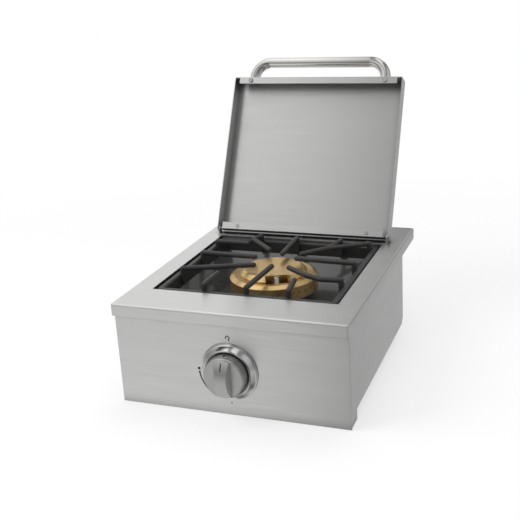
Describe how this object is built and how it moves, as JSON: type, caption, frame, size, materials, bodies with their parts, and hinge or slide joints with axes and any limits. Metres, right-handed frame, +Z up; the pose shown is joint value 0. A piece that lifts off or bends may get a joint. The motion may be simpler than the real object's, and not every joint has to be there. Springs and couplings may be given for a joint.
{
  "type": "built in side burner",
  "caption": "Built-in gas side burner: stainless case and deck, round brass burner under a cast grate, hinged lid that leans back, push-and-turn knob.",
  "frame": {"origin": "middle of the base tray's underside, which the unit stands on", "axes": "+X to the right seen from the knob, +Y from the knob to the back, +Z up"},
  "size_m": [0.33, 0.4917, 0.4166],
  "materials": {
    "brushed_panel": "brushed stainless sheet",
    "galvanised": "plain zinc-coated sheet",
    "polished_tube": "polished stainless tube",
    "matte_cast_iron": "matte black casting",
    "burner_brass": "polished and heat-toned",
    "burner_cast": "as cast",
    "dark_enamel": "dark enamel",
    "plated_steel": "plated",
    "valve_brass": "machined",
    "knob_metal": "satin",
    "bezel_metal": "bright",
    "tube_aluminium": "drawn",
    "black_plastic": "matte",
    "white_ceramic": "glazed",
    "black_rubber": "matte",
    "grey_silicone": "matte"
  },
  "bodies": {
    "case": {"deck": "brushed_panel", "front_fascia": "brushed_panel", "left_side_panel": "brushed_panel", "right_side_panel": "brushed_panel", "rear_panel": "galvanised", "base_tray": "galvanised", "burner_well": "dark_enamel", "cooking_grate": "matte_cast_iron", "burner_base": "burner_cast", "outer_burner_ring": "burner_brass", "inner_burner_cap": "burner_brass", "burner_screws": "plated_steel", "electrode_insulator": "white_ceramic", "electrode_pin": "plated_steel", "electrode_bracket": "plated_steel", "electrode_screw": "plated_steel", "venturi_tube": "burner_cast", "venturi_bracket": "galvanised", "gas_valve_body": "valve_brass", "orifice_holder": "valve_brass", "gas_orifice": "valve_brass", "valve_bracket": "galvanised", "bezel_screws": "plated_steel", "stem_spring": "plated_steel", "knob_bezel": "bezel_metal", "supply_pipe": "tube_aluminium", "valve_inlet_nut": "valve_brass", "inlet_fitting": "valve_brass", "bulkhead_nut": "valve_brass", "pipe_clamp": "galvanised", "piezo_igniter": "black_plastic", "igniter_cable": "black_rubber", "hinge_strip": "brushed_panel", "hinge_strip_screws": "plated_steel", "left_hinge_pin": "plated_steel", "right_hinge_pin": "plated_steel", "tray_screws": "plated_steel", "panel_screws": "plated_steel", "well_screws": "plated_steel"},
    "lid": {"lid_shell": "brushed_panel", "lid_handle": "polished_tube", "handle_screws": "plated_steel", "handle_washers": "plated_steel", "lid_bumpers": "grey_silicone", "lid_rivets": "plated_steel"},
    "stem_slide": {"thrust_collar": "plated_steel"},
    "knob": {"control_knob": "knob_metal", "valve_stem": "plated_steel"},
    "shutter": {"air_shutter": "plated_steel", "shutter_screw": "plated_steel"}
  },
  "joints": [
    {"name": "lid_hinge", "type": "hinge", "parent": "case", "child": "lid", "pos_m": [0, 0.15616, 0.15592], "axis": [-1, 0, 0], "range_deg": [-117.5, 0]},
    {"name": "knob_push", "type": "slide", "parent": "case", "child": "stem_slide", "axis": [0, 1, 0], "range_m": [0, 0.003], "stiffness_N_per_m": 1500, "springref_m": -0.002, "deforming": ["stem_spring"]},
    {"name": "knob_turn", "type": "hinge", "parent": "stem_slide", "child": "knob", "pos_m": [0, -0.157, 0.064], "axis": [0, -1, 0], "range_deg": [0, 180]},
    {"name": "air_shutter_turn", "type": "hinge", "parent": "case", "child": "shutter", "pos_m": [0, -0.086, 0.064], "axis": [0, 1, 0], "range_deg": [-35, 35]}
  ]
}
